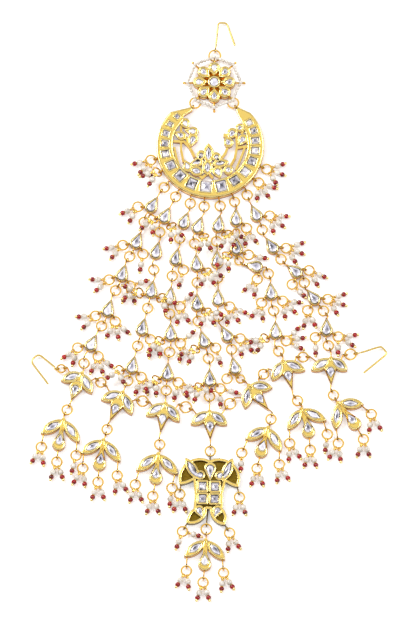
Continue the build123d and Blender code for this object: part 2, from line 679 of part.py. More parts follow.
def make_seat(shape, length, width, place, up, height):
    """Room for a stone, to be cut into a plate."""
    grown = length + 2 * STONE_FIT * length / width
    return raised_outline(shape, grown, width + 2 * STONE_FIT, place, up, height - SEAT_DEPTH, height + SEAT_DEPTH)


def make_bezel(shape, length, width, place, up, height, wall):
    grown = length + 2 * wall * length / width
    return raised_outline(shape, grown, width + 2 * wall, place, up, 0, height)


def make_bar(start, end, radius, level=LEVEL):
    """Round bar between two places, on the part being built."""
    middle = (start + end) / 2
    run = end - start
    with Locations(Plane((middle.real, middle.imag, level), z_dir=(run.real, run.imag, 0))):
        Cylinder(radius, abs(run))


def wire_ring(radius, wire):
    """Closed ring of wire around the z axis."""
    with BuildPart() as ring:
        with BuildSketch(Plane.XZ):
            with Locations((radius, 0)):
                RegularPolygon(wire, WIRE_SIDES)
        revolve(axis=Axis.Z)
    return ring.part


eye_form = wire_ring(EYE_RADIUS, EYE_WIRE)


def make_eyes(rows):
    """Upright wire eyes with their necks, on the part being built."""
    for place, facing, foot in rows:
        make_bar(foot, place - facing * EYE_RADIUS, NECK_RADIUS)
        add(upright(place, facing) * eye_form)


def flat_points(places):
    return [(place.real, place.imag) for place in places]


def write(part, name):
    part.label = name
    export_step(part, f"parts/{name}.step")


# Strands: five settings each.
for number, settings in enumerate(strand_settings, 1):
    owner = f"strand_{number}"
    finished = []
    for setting in settings:
        up = -setting.down
        own_eyes = [eye for eye in eyes[owner] if distance_to_bar(eye[2], setting.tip, setting.bowl) < CLEARANCE]
        plate = raised_outline(
            "drop", SETTING_LENGTH, SETTING_WIDTH, setting.plate, up, PLATE_LIFT, SETTING_HEIGHT, EDGE_CHAMFER
        )
        seat = make_seat("drop", *STRAND_STONE, setting.stone, up, SETTING_HEIGHT)
        with BuildPart() as strand_setting:
            add(plate)
            make_eyes(own_eyes)
            add(seat, mode=Mode.SUBTRACT)
        finished.append(strand_setting.part)
    with BuildPart() as strand:
        add(finished)
    write(strand.part, owner)


# Trefoils: two side petals, a foot petal, a web between them and their stones.
def trefoil_stones(owner):
    hub, left, right, stone, tip = petals[owner]
    up = toward(stone, tip) if owner.startswith("upper") else toward(tip, stone)
    rows = [("drop", *FOOT_STONE, stone, up)]
    for end in (left, right):
        rows.append(("marquise", *PETAL_STONE, hub + (end - hub) * PETAL_STONE_SHARE, toward(hub, end)))
    return rows


for owner, (hub, left, right, stone, tip) in petals.items():
    up = toward(stone, tip) if owner.startswith("upper") else toward(tip, stone)
    foot_length = 2 * abs(tip - stone) + FOOT_GROWTH
    plates = [raised_outline("drop", foot_length, FOOT_WIDTH, stone, up, 0, TREFOIL_HEIGHT, EDGE_CHAMFER)]
    for end in (left, right):
        middle = (hub + end) / 2
        plates.append(raised_outline(
            "marquise", abs(end - hub), PETAL_WIDTH, middle, toward(hub, end), 0, TREFOIL_HEIGHT, EDGE_CHAMFER
        ))
    seats = [make_seat(*row, TREFOIL_HEIGHT) for row in trefoil_stones(owner)]
    with BuildPart() as trefoil:
        add(plates)
        with Locations((hub.real, hub.imag, WEB_HEIGHT / 2), (stone.real, stone.imag, WEB_HEIGHT / 2)):
            Cylinder(WEB_RADIUS, WEB_HEIGHT)
        with Locations(flat((hub + stone) / 2, toward(hub, stone), WEB_HEIGHT / 2)):
            Box(2 * WEB_RADIUS, abs(stone - hub), WEB_HEIGHT)
        make_eyes(eyes[owner])
        add(seats, mode=Mode.SUBTRACT)
    write(trefoil.part, owner)

for row_name in ("upper", "lower"):
    stones = []
    for owner in petals:
        if owner.startswith(row_name):
            stones += [make_stone(*row, TREFOIL_HEIGHT) for row in trefoil_stones(owner)]
    with BuildPart() as trefoil_stone_row:
        add(stones)
    write(trefoil_stone_row.part, f"{row_name}_trefoil_stones")

# Crescent: a pierced lattice inside a band of seats.
band_stones = []
for x, y, length, width in BAND_STONES:
    place = spot((x, y))
    outward = toward(crescent_place, place)
    band_stones.append(("square", length * CHART_STEP, width * CHART_STEP, place, outward))
lattice_stones = []
for shape, x, y, length, width, lean in LATTICE_STONES:
    lattice_stones.append((shape, length * CHART_STEP, width * CHART_STEP, spot((x, y)), -direction(lean)))

with BuildPart() as crescent_band:
    with BuildSketch(flat(crescent_place)):
        Circle(CRESCENT_RADIUS)
        with Locations((0, CRESCENT_INNER_RISE)):
            Circle(CRESCENT_INNER, mode=Mode.SUBTRACT)
        Polygon(*HORN_CUT, align=None, mode=Mode.SUBTRACT)
    extrude(amount=BAND_HEIGHT)
    chamfer(crescent_band.edges().group_by(Axis.Z)[-1].sort_by(SortBy.LENGTH)[-1:], EDGE_CHAMFER)
with BuildPart() as lattice:
    for places, half_width in LATTICE_STEMS:
        with BuildSketch():
            with BuildLine():
                Polyline(*flat_points(spot(place) for place in places))
            trace(line_width=2 * half_width)
    extrude(amount=LATTICE_HEIGHT - EDGE_CHAMFER)
    add([make_bezel(*row, LATTICE_HEIGHT, BEZEL) for row in lattice_stones])
with BuildPart() as crescent_setting:
    add([crescent_band.part, lattice.part])
    make_eyes(eyes["crescent_setting"])
    add([make_seat(*row, BAND_HEIGHT) for row in band_stones], mode=Mode.SUBTRACT)
    add([make_seat(*row, LATTICE_HEIGHT) for row in lattice_stones], mode=Mode.SUBTRACT)
write(crescent_setting.part, "crescent_setting")

with BuildPart() as crescent_stones:
    add([make_stone(*row, BAND_HEIGHT) for row in band_stones])
write(crescent_stones.part, "crescent_stones")

# Rosette: centre, eight petals and pegs over a back plate.
rosette_steps = [direction(45 * step) for step in range(8)]
rosette_plates = [raised_outline(
    "round", 2 * ROSETTE_CENTRE_RADIUS, 2 * ROSETTE_CENTRE_RADIUS, rosette_place, 1j, 0, ROSETTE_HEIGHT, EDGE_CHAMFER
)]
rosette_seats = [make_seat("round", ROSETTE_CENTRE_STONE, ROSETTE_CENTRE_STONE, rosette_place, 1j, ROSETTE_HEIGHT)]
for outward in rosette_steps:
    petal_place = rosette_place + outward * ROSETTE_PETAL_AT
    stone_place = rosette_place + outward * ROSETTE_STONE_AT
    rosette_plates.append(raised_outline(
        "drop", *ROSETTE_PETAL, petal_place, -outward, 0, ROSETTE_HEIGHT, EDGE_CHAMFER
    ))
    rosette_seats.append(make_seat("drop", *ROSETTE_STONE, stone_place, -outward, ROSETTE_HEIGHT))
with BuildPart() as rosette_setting:
    with Locations((rosette_place.real, rosette_place.imag, ROSETTE_BACK_HEIGHT / 2)):
        Cylinder(ROSETTE_BACK_RADIUS, ROSETTE_BACK_HEIGHT)
    add(rosette_plates)
    for step in PEG_STEPS:
        outward = rosette_steps[step]
        peg_end = rosette_place + outward * PEG_END
        make_bar(rosette_place + outward * ROSETTE_BACK_RADIUS, peg_end, PEG_RADIUS)
        with Locations((peg_end.real, peg_end.imag, LEVEL)):
            Sphere(PEG_BALL)
    make_eyes(eyes["rosette_setting"])
    add(rosette_seats, mode=Mode.SUBTRACT)
write(rosette_setting.part, "rosette_setting")

with BuildPart() as rosette_pearl_string:
    with BuildLine(Plane.XY.offset(PEARL_STRING_LEVEL)) as string_path:
        FilletPolyline(
            *flat_points(rosette_place + outward * PEARL_STRING_REACH for outward in rosette_steps),
            radius=PEARL_STRING_TURN,
            close=True,
        )
    with BuildSketch(Plane(origin=string_path.line @ 0, z_dir=string_path.line % 0)):
        Circle(PEARL_STRING_RADIUS)
    sweep()
write(rosette_pearl_string.part, "rosette_pearl_string")

# Centre pendant: a rim and bezels that stand on a lower ground.
pendant_rows = []
for shape, x, y, length, width, lean in PENDANT_STONES:
    pendant_rows.append((shape, length, width, spot((x, y)), -direction(lean)))
with BuildSketch() as pendant_outline:
    Polygon(*flat_points(spot(place) for place in PENDANT_BODY), align=None)
    for limb in PENDANT_LIMBS:
        start, outer, tip, inner = flat_points(spot(place) for place in limb)
        with BuildLine():
            ThreePointArc(start, outer, tip)
            ThreePointArc(tip, inner, start)
        make_face()
with BuildPart() as pendant_setting:
    extrude(pendant_outline.sketch, amount=GROUND_HEIGHT)
    with BuildSketch():
        add(pendant_outline.sketch)
        offset(pendant_outline.sketch, amount=-RIM_WIDTH, mode=Mode.SUBTRACT)
    extrude(amount=PENDANT_HEIGHT)
    add([make_bezel(*row, PENDANT_HEIGHT, BEZEL * 0.8) for row in pendant_rows])
    make_eyes(eyes["pendant_setting"])
    add([make_seat(*row, PENDANT_HEIGHT) for row in pendant_rows], mode=Mode.SUBTRACT)
write(pendant_setting.part, "pendant_setting")

with BuildPart() as pendant_stones:
    add([make_stone(*row, PENDANT_HEIGHT) for row in pendant_rows])
write(pendant_stones.part, "pendant_stones")

# Hooks: a wire bent back on itself, with an eye.
for name, (eye, corners, bends) in HOOKS.items():
    points = flat_points(spot(corner) for corner in corners)
    with BuildPart() as hook:
        with BuildLine(Plane.XY.offset(LEVEL)) as wire:
            FilletPolyline(*points, radius=bends)
        with BuildSketch(Plane(origin=wire.line @ 0, z_dir=wire.line % 0)):
            Circle(HOOK_WIRE)
        sweep()
        with Locations((*points[0], LEVEL), (*points[-1], LEVEL)):
            Sphere(HOOK_WIRE)
        make_eyes(eyes[name])
    write(hook.part, name)

# Jump rings.
for node, rows in rings.items():
    finished = [flat(centre, level=LEVEL) * wire_ring(radius, RING_WIRE) for centre, radius in rows]
    with BuildPart() as ring_set:
        add(finished)
    write(ring_set.part, node)

# Clusters: a ring and the drops that hang on it.
with BuildPart() as drop_form:
    with BuildSketch():
        with BuildLine():
            Polyline(
                (0, 0), (0, DROP_WIRE), (PEARL_AT / 2, DROP_WIRE), (PEARL_AT, PEARL_RADIUS), (NIP_AT, NIP_RADIUS),
                (BEAD_AT, BEAD_RADIUS), (BALL_AT, BALL_RADIUS), (DROP_LENGTH, BALL_RADIUS), (DROP_LENGTH, 0),
                close=True,
            )
        make_face()
    revolve(axis=Axis.X)

ring_form = wire_ring(RING_RADIUS, RING_WIRE)
for node, rows in clusters.items():
    finished = []
    for place, facing, drops in rows:
        level = LEVEL if facing is None else RAISED_LEVEL
        ring_plane = flat(place, level=LEVEL) if facing is None else tipped(place, facing)
        with BuildPart() as cluster:
            add(ring_plane * ring_form)
            add([upright(start, heading, level) * drop_form.part for start, heading in drops])
        finished.append(cluster.part)
    with BuildPart() as cluster_set:
        add(finished)
    write(cluster_set.part, node)
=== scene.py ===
# %% [markdown]
# # A passa headpiece, laid out on a white table
# The headpiece is gold plated metal with foil backed glass stones, seed pearls and dark red seed
# beads. The frame already holds the settings, the jump rings, the hooks and the wires. This lesson
# gives them their finish and adds the fine things that sit in them or hang on them: the burnished
# rims, the cut stones, the pearls, the red beads, the gold balls and the wire loops.

# %% Load the frame
import math
import random

import bmesh
import bpy
from mathutils import Matrix, Vector


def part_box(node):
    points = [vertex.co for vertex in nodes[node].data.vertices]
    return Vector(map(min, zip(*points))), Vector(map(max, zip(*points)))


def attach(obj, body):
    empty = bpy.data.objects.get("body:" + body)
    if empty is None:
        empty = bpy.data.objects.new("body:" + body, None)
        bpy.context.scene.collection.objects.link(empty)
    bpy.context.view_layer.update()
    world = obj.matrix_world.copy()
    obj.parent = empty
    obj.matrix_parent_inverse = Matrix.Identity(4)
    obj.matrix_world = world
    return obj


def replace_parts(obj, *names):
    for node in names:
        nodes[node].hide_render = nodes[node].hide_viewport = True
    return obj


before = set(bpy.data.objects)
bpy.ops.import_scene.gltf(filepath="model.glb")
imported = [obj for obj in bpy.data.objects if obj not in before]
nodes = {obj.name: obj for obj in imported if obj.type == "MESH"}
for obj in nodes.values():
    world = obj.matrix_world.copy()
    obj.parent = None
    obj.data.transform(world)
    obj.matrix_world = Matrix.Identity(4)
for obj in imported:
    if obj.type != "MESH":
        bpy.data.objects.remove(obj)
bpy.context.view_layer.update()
MM = 0.001
WELD_GAP = 0.002 * MM
LEVEL_TOLERANCE = 0.004 * MM
print("nodes in the frame:", len(nodes))

# %% [markdown]
# ## Helpers for finishes
# Colours are given as screen colours and shaders work in linear light, so one function turns a hex
# value to linear. One more adds a shader node with its settings and its links.


# %% Colour and node helpers
def colour(hex_value):
    """Linear colour of a screen colour such as E0A83C."""
    parts = [int(hex_value[i:i + 2], 16) / 255 for i in (0, 2, 4)]
    linear = [p / 12.92 if p <= 0.04045 else ((p + 0.055) / 1.055) ** 2.4 for p in parts]
    return (*linear, 1.0)


def add_node(tree, kind, settings=None, **links):
    """Shader node with its settings; links go from sockets of other nodes to named inputs."""
    node = tree.nodes.new(kind)
    for name, value in (settings or {}).items():
        if name in node.inputs:
            node.inputs[name].default_value = value
        else:
            setattr(node, name, value)
    for name, socket in links.items():
        tree.links.new(socket, node.inputs[name.replace("_", " ")])
    return node


def new_material(name, **surface):
    """Material with a principled surface, whose plain values are set on its own sockets."""
    material = bpy.data.materials.new(name)
    material.use_nodes = True
    shader = material.node_tree.nodes["Principled BSDF"]
    for key, value in surface.items():
        shader.inputs[key.replace("_", " ")].default_value = value
    return material, material.node_tree, shader


def add_ramp(tree, factor, stops, target):
    """Colour ramp from (place, hex) pairs, linked from a factor to a socket."""
    ramp = add_node(tree, "ShaderNodeValToRGB", Fac=factor)
    elements = ramp.color_ramp.elements
    while len(elements) < len(stops):
        elements.new(0.5)
    for element, (place, hex_value) in zip(elements, stops):
        element.position = place
        element.color = colour(hex_value)
    tree.links.new(ramp.outputs["Color"], target)


def add_noise(tree, size_mm, detail):
    """Noise with patches of about one size, in the piece's own place."""
    place = add_node(tree, "ShaderNodeTexCoord").outputs["Object"]
    settings = {"Scale": 1 / (size_mm * MM), "Detail": detail}
    return add_node(tree, "ShaderNodeTexNoise", settings, Vector=place).outputs["Fac"]


def add_patches(tree, size_mm, detail, value):
    """A value with half of a noise added to it, which breaks it up in soft patches."""
    patches = add_node(tree, "ShaderNodeMath", {"operation": "MULTIPLY_ADD"})
    tree.links.new(add_noise(tree, size_mm, detail), patches.inputs[0])
    patches.inputs[1].default_value = 0.5
    tree.links.new(value, patches.inputs[2])
    return patches.outputs["Value"]


print("the helpers for finishes are ready")

# %% [markdown]
# ## Gold plate
# The settings are cast brass, polished and plated. Plating copies every small unevenness of the
# casting below it, so the shine breaks up in soft patches about a millimetre wide. On top of that
# the colour carries painted shade and painted light: it is painted browner on the low ground
# between the bezels and paler on the high tops, and that is what makes the raised rims read as
# bright lines.


# %% Gold finishes
GRAIN_MM = 0.9
GRAIN_DEPTH_MM = 0.14


def gold_shaded_by_height(name, shades, roughness, low_mm, high_mm, patch_mm=1.4):
    """Gold whose colour is painted shade at a low height and painted light at a high one."""
    material, tree, shader = new_material(name, Metallic=1.0, Roughness=roughness)
    bright, middle, dark = shades
    # painted shade and painted light: the colour is darker on the low ground and paler on the high tops
    place = add_node(tree, "ShaderNodeTexCoord").outputs["Object"]
    height = add_node(tree, "ShaderNodeSeparateXYZ", Vector=place).outputs["Z"]
    reach = {"From Min": low_mm * MM, "From Max": high_mm * MM}
    rise = add_node(tree, "ShaderNodeMapRange", reach, Value=height).outputs["Result"]
    patches = add_patches(tree, patch_mm, 3.0, rise)
    add_ramp(tree, patches, [(0.2, dark), (0.65, middle), (1.05, bright)], shader.inputs["Base Color"])
    grain = {"Strength": 0.3, "Distance": GRAIN_DEPTH_MM * MM}
    bump = add_node(tree, "ShaderNodeBump", grain, Height=add_noise(tree, GRAIN_MM, 4.0))
    tree.links.new(bump.outputs["Normal"], shader.inputs["Normal"])
    return material


gold_setting = gold_shaded_by_height("gold plated cast brass", ("EFCF70", "D28E1E", "743404"), 0.24, 0.2, 2.7)
# The pendant's ground gets a darker ramp, which is painted shade on its low ground.
gold_ground = gold_shaded_by_height(
    "dull plated pendant ground with painted shade", ("EFCF70", "A8842E", "54440C"), 0.35, 1.4, 2.6, patch_mm=0.5
)
# The rims and end balls are painted a paler gold, a painted highlight besides their burnished shine.
gold_rim = gold_shaded_by_height("burnished gold rim with painted highlight", ("FBE7A0", "F0CC6C", "B87818"), 0.14, 0.0, 2.2)
gold_ring = gold_shaded_by_height("gold plated ring wire", ("F0CE6C", "D08A18", "8A4A06"), 0.16, 0.0, 2.3)
gold_wire = gold_shaded_by_height("gold plated hook wire", ("ECCF78", "C8982E", "86581A"), 0.22, 0.4, 1.8)
print("gold finishes: 5")

# %% [markdown]
# ## Stones, pearls and beads
# The stones are glass with bright foil behind them. Foil sends the light back, so the stone is
# almost white. At the culet, the point of the cut, the light leaves sideways and the stone goes
# dark, and it is a little grey along the bezel. This light and shade is painted: the mesh carries the
# painted light and painted shade as a value per corner, called foil, that the shader turns to colour.
# The seed pearls are ivory with a soft sheen. The seed beads are pressed glass, so dark a red that
# they show their colour only where light comes through.

# %% Glass, pearl and bead finishes
foil_stone, stone_tree, stone_shader = new_material(
    "foil backed glass", Metallic=0.15, Roughness=0.1, Coat_Weight=1.0, Coat_Roughness=0.03
)
# The foil value is painted light and painted shade, which the ramp turns to the stone's colour.
foil = add_node(stone_tree, "ShaderNodeAttribute", {"attribute_name": "foil"}).outputs["Fac"]
add_ramp(
    stone_tree, add_patches(stone_tree, 1.1, 2.0, foil),
    [(0.25, "2E2E38"), (0.55, "8E8C9C"), (0.85, "D2D0E0"), (1.1, "F2F2FA")],
    stone_shader.inputs["Base Color"],
)

pearl, pearl_tree, pearl_shader = new_material(
    "seed pearl", Roughness=0.3, Coat_Weight=0.5, Coat_Roughness=0.15, Sheen_Weight=0.15
)
add_ramp(
    pearl_tree, add_noise(pearl_tree, 1.6, 3.0),
    [(0.3, "BDB4A8"), (0.5, "E2DCD2"), (0.7, "F4F0EA")], pearl_shader.inputs["Base Color"],
)

red_glass, red_tree, red_shader = new_material("dark red seed bead glass", Roughness=0.18, Coat_Weight=0.3)
add_ramp(
    red_tree, add_noise(red_tree, 1.6, 1.0),
    [(0.3, "5A0008"), (0.5, "94000E"), (0.75, "B80014")], red_shader.inputs["Base Color"],
)
print("finishes:", foil_stone.name, "/", pearl.name, "/", red_glass.name)

# %% [markdown]
# ## Dress the frame
# The metal of the frame keeps its shape. A bevel of a few hundredths of a millimetre would cost
# thousands of faces here, so the edges stay as they are and only the shading is smoothed: a weld
# joins the loose triangles, and an edge split keeps the real corners crisp.


# %% Give every metal node its finish
CORNER_ANGLE = math.radians(32)


def dress(name, material):
    node = nodes[name]
    node.data.materials.clear()
    node.data.materials.append(material)
    node.data.shade_smooth()
    weld = node.modifiers.new("weld", "WELD")
    weld.merge_threshold = WELD_GAP
    split = node.modifiers.new("corners", "EDGE_SPLIT")
    split.split_angle = CORNER_ANGLE


def finish_of(name):
    if name.endswith("hook"):
        return gold_wire
    if name.endswith("rings") or "drops" in name:
        return gold_ring
    return gold_ground if name == "pendant_setting" else gold_setting


metal_nodes = [name for name in nodes if not name.endswith("stones")]
for name in metal_nodes:
    dress(name, finish_of(name))
print("dressed nodes:", len(metal_nodes))

# %% [markdown]
# ## Stones grown from their seats
# A setter picks a stone for its seat. Here it is the other way round: every seat in the frame has a
# flat floor, so a copy of that floor, made simpler and drawn in a little, is the girdle of the
# stone. Extruding it up makes the girdle wall, an inset makes the crown facets, and a poke sets the
# culet in the middle of the table.


# %% Helpers that make pieces
def new_piece(name, mesh, material, smooth=True):
    """Object for a finished bmesh, riding on the headpiece."""
    data = bpy.data.meshes.new(name)
    mesh.to_mesh(data)
    mesh.free()
    data.materials.append(material)
    if smooth:
        data.shade_smooth()
    piece = bpy.data.objects.new(name, data)
    bpy.context.scene.collection.objects.link(piece)
    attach(piece, "root")
    return piece


def welded_copy(name):
    """Copy of a node's mesh, with its loose triangles joined."""
    mesh = bmesh.new()
    mesh.from_mesh(nodes[name].data)
    bmesh.ops.remove_doubles(mesh, verts=mesh.verts, dist=WELD_GAP)
    return mesh


def is_at(vert, height_mm):
    return abs(vert.co.z - height_mm * MM) < LEVEL_TOLERANCE


def level_faces(mesh, height_mm):
    """Faces that lie level at one height and look up."""
    return [
        face for face in mesh.faces
        if face.normal.z > 0.9 and all(is_at(vert, height_mm) for vert in face.verts)
    ]


probe = welded_copy("rosette_setting")
print("seat faces of the rosette:", len(level_faces(probe, 1.6)))
probe.free()

# %% [markdown]
# ## The cut of one stone
# A kundan stone is cut by hand, so no two are alike. A seeded random generator makes the small
# differences, and it gives the same stones at each run. The shares below are of the stone's own
# height and width, so that a large stone of the crescent and a small one of a strand get one cut.

# %% Cut one stone
rng = random.Random(11)
STONE_FIT, STONE_LIFT_MM, CULET_RISE_MM = 0.97, 0.03, 0.12
WALL_SHARE, CROWN_SHARE, CULET_SHIFT = 0.62, 0.16, 0.12
# Painted shade on the crown facets and at the culet, painted light on the table, as values of foil.
CROWN_SHADE, TABLE_LIGHT = (0.35, 0.75), (0.62, 0.95)
CULET_SHADE = (-0.15, 0.0, 0.15, 0.6)


def cut_stone(mesh, girdle, floor_mm, height_mm, painted_light_layer):
    """One cut stone, raised from the outline of its girdle, with painted light and shade on its facets."""
    centre = girdle.calc_center_median()
    for vert in girdle.verts:
        vert.co = centre + (vert.co - centre) * STONE_FIT
        vert.co.z = (floor_mm + STONE_LIFT_MM) * MM
    raised = bmesh.ops.extrude_face_region(mesh, geom=[girdle], use_keep_orig=True)["geom"]
    table = next(part for part in raised if isinstance(part, bmesh.types.BMFace))
    for vert in table.verts:
        vert.co.z += height_mm * MM * WALL_SHARE
    width = math.sqrt(table.calc_area())
    crown = bmesh.ops.inset_region(mesh, faces=[table], thickness=width * CROWN_SHARE, depth=0)["faces"]
    for vert in table.verts:
        vert.co.z += height_mm * MM * (1 - WALL_SHARE)
    for facet in crown:
        shade = rng.uniform(*CROWN_SHADE)
        for loop in facet.loops:
            loop[painted_light_layer] = shade
    poked = bmesh.ops.poke(mesh, faces=[table])
    culet = poked["verts"][0]
    culet.co.x += rng.uniform(-CULET_SHIFT, CULET_SHIFT) * width
    culet.co.y += rng.uniform(-CULET_SHIFT, CULET_SHIFT) * width
    culet.co.z += CULET_RISE_MM * MM
    depth = rng.choice(CULET_SHADE)
    for facet in poked["faces"]:
        shade = rng.uniform(*TABLE_LIGHT)
        for loop in facet.loops:
            loop[painted_light_layer] = depth if loop.vert is culet else shade


print("cuts of the culet:", len(CULET_SHADE))

# %% [markdown]
# ## Stones for every seat
# The floors of the seats lie at a few known heights, and the outline of a floor has many short
# edges where it is round. A limited dissolve leaves the corners that a cutter would grind. Where
# the frame already has plain stones, the cut ones take their place.

# %% Cut the stones
SMALLEST_SEAT = 0.5 * MM * MM
FACET_ANGLE = math.radians(20)


def grow_stones(name, floor_mm, height_mm):
    """Cut stones that stand on the seat floors of a node."""
    mesh = welded_copy(name)
    kept = set(level_faces(mesh, floor_mm))
    bmesh.ops.delete(mesh, geom=[face for face in mesh.faces if face not in kept], context="FACES")
    bmesh.ops.dissolve_faces(mesh, faces=mesh.faces)
    bmesh.ops.dissolve_limit(mesh, angle_limit=FACET_ANGLE, verts=mesh.verts, edges=mesh.edges)
    painted_light_layer = mesh.loops.layers.float.new("foil")
    girdles = [face for face in mesh.faces if face.calc_area() > SMALLEST_SEAT]
    for girdle in girdles:
        cut_stone(mesh, girdle, floor_mm, height_mm, painted_light_layer)
    bmesh.ops.recalc_face_normals(mesh, faces=mesh.faces)
    return mesh, len(girdles)


SEATS = [
    # node, seat floors in mm, height of the stone in mm, node that the stones stand for
    ("crescent_setting", (1.7, 1.2), 1.0, "crescent_stones"),
    ("pendant_setting", (1.3,), 1.0, "pendant_stones"),
    ("rosette_setting", (1.6,), 1.0, None),
]
for number in range(1, 8):
    SEATS.append((f"strand_{number}", (0.9,), 1.05, None))
    SEATS.append((f"upper_trefoil_{number}", (1.1,), 1.0, "upper_trefoil_stones"))
    SEATS.append((f"lower_trefoil_{number}", (1.1,), 1.0, "lower_trefoil_stones"))

stones = 0
stood_for = set()
for name, floors, height, old in SEATS:
    for level, floor in enumerate(floors, 1):
        mesh, count = grow_stones(name, floor, height)
        piece = new_piece(f"{name}_stones_{level}", mesh, foil_stone, smooth=False)
        stones += count
        if old and old not in stood_for:
            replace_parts(piece, old)
            stood_for.add(old)
print("stones:", stones)

# %% [markdown]
# ## Burnished rims
# After the stones are in, the setter runs a burnisher along the edges of the bezels and of the
# plates. It rolls the soft metal over into a smooth round rim. A curve with a round bevel is the
# quick way to a rim: the outline of every level face is read from the frame, and the curve follows
# it.

# %% Read the outlines of the bezels
LEVEL_TOPS = {
    # node: pairs of height and rim radius, both in mm
    "crescent_setting": ((2.8, 0.3), (2.3, 0.2)),
    "pendant_setting": ((2.4, 0.17),),
    "rosette_setting": ((2.7, 0.24),),
}
for number in range(1, 8):
    LEVEL_TOPS[f"strand_{number}"] = ((2.0, 0.27),)
    LEVEL_TOPS[f"upper_trefoil_{number}"] = ((2.2, 0.27),)
    LEVEL_TOPS[f"lower_trefoil_{number}"] = ((2.2, 0.27),)


def outlines(mesh, height_mm):
    """Closed outlines of the level faces at one height, as lists of places."""
    level = set(level_faces(mesh, height_mm))
    beside = {}
    for face in level:
        for edge in face.edges:
            if sum(other in level for other in edge.link_faces) == 1:
                for vert in edge.verts:
                    beside.setdefault(vert, []).append(edge.other_vert(vert))
    chains = []
    while beside:
        vert = next(iter(beside))
        chain = []
        while vert in beside:
            chain.append(vert.co.copy())
            nexts = beside[vert]
            following = nexts.pop()
            if not nexts:
                del beside[vert]
            if following in beside and vert in beside[following]:
                beside[following].remove(vert)
                if not beside[following]:
                    del beside[following]
                    chain.append(following.co.copy())
            vert = following
        chains.append(chain)
    return chains


def thinned(chain, gap_mm):
    """The same chain without places that lie closer than a gap to the one before."""
    kept = [chain[0]]
    for place in chain[1:]:
        if (place - kept[-1]).length > gap_mm * MM and (place - chain[0]).length > gap_mm * MM:
            kept.append(place)
    return kept


print("nodes with rims:", len(LEVEL_TOPS))

# %% [markdown]
# ## From outlines to rims
# The tube of a curve becomes a mesh at once, because the finished pieces are plain meshes. An
# outline gives a place for each short edge of the frame, and a tube that follows them all would
# kink, so places closer than a sixth of a millimetre are left out.

# %% Roll the rims
RIM_GAP_MM = 0.16
FEWEST_PLACES = 6


def add_tubes(name, chains, radius_mm):
    """Mesh of round closed tubes that follow chains of places."""
    curve = bpy.data.curves.new(name, "CURVE")
    curve.dimensions = "3D"
    curve.bevel_depth = radius_mm * MM
    curve.bevel_resolution = 1
    for chain in chains:
        line = curve.splines.new("POLY")
        line.points.add(len(chain) - 1)
        for point, place in zip(line.points, chain):
            point.co = (*place, 1.0)
        line.use_cyclic_u = True
    holder = bpy.data.objects.new(name, curve)
    data = bpy.data.meshes.new_from_object(holder)
    bpy.data.objects.remove(holder)
    return data


rims = bmesh.new()
rim_count = 0
for name, tops in LEVEL_TOPS.items():
    mesh = welded_copy(name)
    for height, radius in tops:
        chains = [thinned(chain, RIM_GAP_MM) for chain in outlines(mesh, height)]
        chains = [chain for chain in chains if len(chain) >= FEWEST_PLACES]
        rims.from_mesh(add_tubes(f"{name}_rim", chains, radius))
        rim_count += len(chains)
    mesh.free()
bmesh.ops.recalc_face_normals(rims, faces=rims.faces)
print("rims:", rim_count, "faces:", len(rims.faces))
new_piece("burnished_rims", rims, gold_rim)

# %% [markdown]
# ## Where the drops hang
# Every drop in the frame is a turned form, and its seam runs along the top. So the highest point of
# the pearl and the highest point of the bead can be read from the mesh, and the line between them
# is the wire of the drop.

# %% Read the drops from the frame
LEVELS = (1.25, 3.8)
PEARL_RADIUS, BEAD_RADIUS, PEARL_TO_BEAD = 1.2, 0.85, 1.9
RUN_TOLERANCE = 0.01 * MM


def crowns(mesh, height_mm):
    return [vert.co.copy() for vert in mesh.verts if is_at(vert, height_mm)]


drops = []
for name in nodes:
    if "drops" not in name:
        continue
    mesh = welded_copy(name)
    for level in LEVELS:
        beads = crowns(mesh, level + BEAD_RADIUS)
        for crown in crowns(mesh, level + PEARL_RADIUS):
            for bead in beads:
                run = bead - crown
                run.z = 0
                if abs(run.length - PEARL_TO_BEAD * MM) < RUN_TOLERANCE:
                    drops.append((Vector((crown.x, crown.y, level * MM)), run.normalized()))
    mesh.free()
print("drops:", len(drops))

# %% [markdown]
# ## Pearls, beads, balls and loops
# A seed pearl is never quite round, so each one is squashed a little. There are well
# over a hundred of each, so one pearl has only a few dozen faces, and smooth shading hides them.
# Each form is made once, and copies of it are moved to their places. At the jump ring the wire of
# the drop is wound into an eye, which is a small loop and two turns round its own stem.


# %% Forms of the drop
BEAD_HOLE, BEAD_WALL, BEAD_HALF_LENGTH, BEAD_SQUARENESS = 0.2, 0.78, 0.76, 0.6
BEAD_STEPS, BEAD_SIDES = 6, 10
BALL_RADIUS = 0.55
LOOP_RADIUS, LOOP_WIRE = 0.62, 0.17
TURN_RADIUS, TURN_WIRE, TURN_HEIGHTS = 0.3, 0.19, (-0.24, 0.1)


def form(fill):
    """Mesh that one function fills, to be copied many times."""
    mesh = bmesh.new()
    fill(mesh)
    bmesh.ops.recalc_face_normals(mesh, faces=mesh.faces)
    data = bpy.data.meshes.new("form")
    mesh.to_mesh(data)
    mesh.free()
    return data


def fill_bead(mesh):
    """Seed bead: half of its section, spun around its hole."""
    profile = []
    for step in range(BEAD_STEPS + 1):
        turn = math.pi * (step / BEAD_STEPS - 0.5)
        reach = BEAD_HOLE + BEAD_WALL * math.cos(turn) ** BEAD_SQUARENESS
        profile.append(mesh.verts.new((reach * MM, 0, BEAD_HALF_LENGTH * math.sin(turn) * MM)))
    edges = [mesh.edges.new(pair) for pair in zip(profile, profile[1:] + profile[:1])]
    bmesh.ops.spin(
        mesh, geom=profile + edges, cent=(0, 0, 0), axis=(0, 0, 1),
        angle=math.tau, steps=BEAD_SIDES, use_merge=True,
    )


